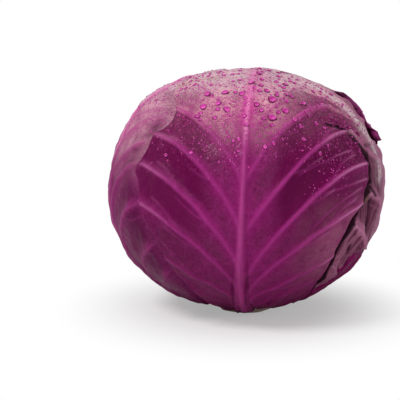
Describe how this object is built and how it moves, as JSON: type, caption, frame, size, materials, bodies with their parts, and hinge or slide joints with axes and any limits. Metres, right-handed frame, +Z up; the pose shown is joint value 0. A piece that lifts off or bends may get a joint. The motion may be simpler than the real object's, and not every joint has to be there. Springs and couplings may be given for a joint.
{
  "type": "red cabbage",
  "caption": "Whole red cabbage: overlapping outer leaves with raised midribs wrapped round a packed inner head, standing on its cut stem.",
  "frame": {"origin": "centre of the stem's flat cut face, on which the head stands", "axes": "+Z up the stem's axis, -Y towards the front leaf's midrib, +X to the right seen from the front"},
  "size_m": [0.1773, 0.1723, 0.158],
  "materials": {
    "front_leaf": "waxy leaf, satin, with a pale bloom",
    "back_right_leaf": "waxy leaf, satin",
    "left_leaf": "waxy leaf, satin, with a pale bloom",
    "right_leaf": "waxy leaf, dull, with a grey bloom",
    "back_left_leaf": "waxy leaf, satin",
    "front_right_inner_leaf": "smooth waxy leaf",
    "front_left_inner_leaf": "smooth waxy leaf",
    "inner_head": "tightly packed leaves",
    "cut_stem": "moist cut stalk, matt"
  },
  "bodies": {
    "root": {"front_leaf": "front_leaf", "back_right_leaf": "back_right_leaf", "left_leaf": "left_leaf", "right_leaf": "right_leaf", "back_left_leaf": "back_left_leaf", "front_right_inner_leaf": "front_right_inner_leaf", "front_left_inner_leaf": "front_left_inner_leaf", "inner_head": "inner_head", "cut_stem": "cut_stem"}
  },
  "joints": []
}
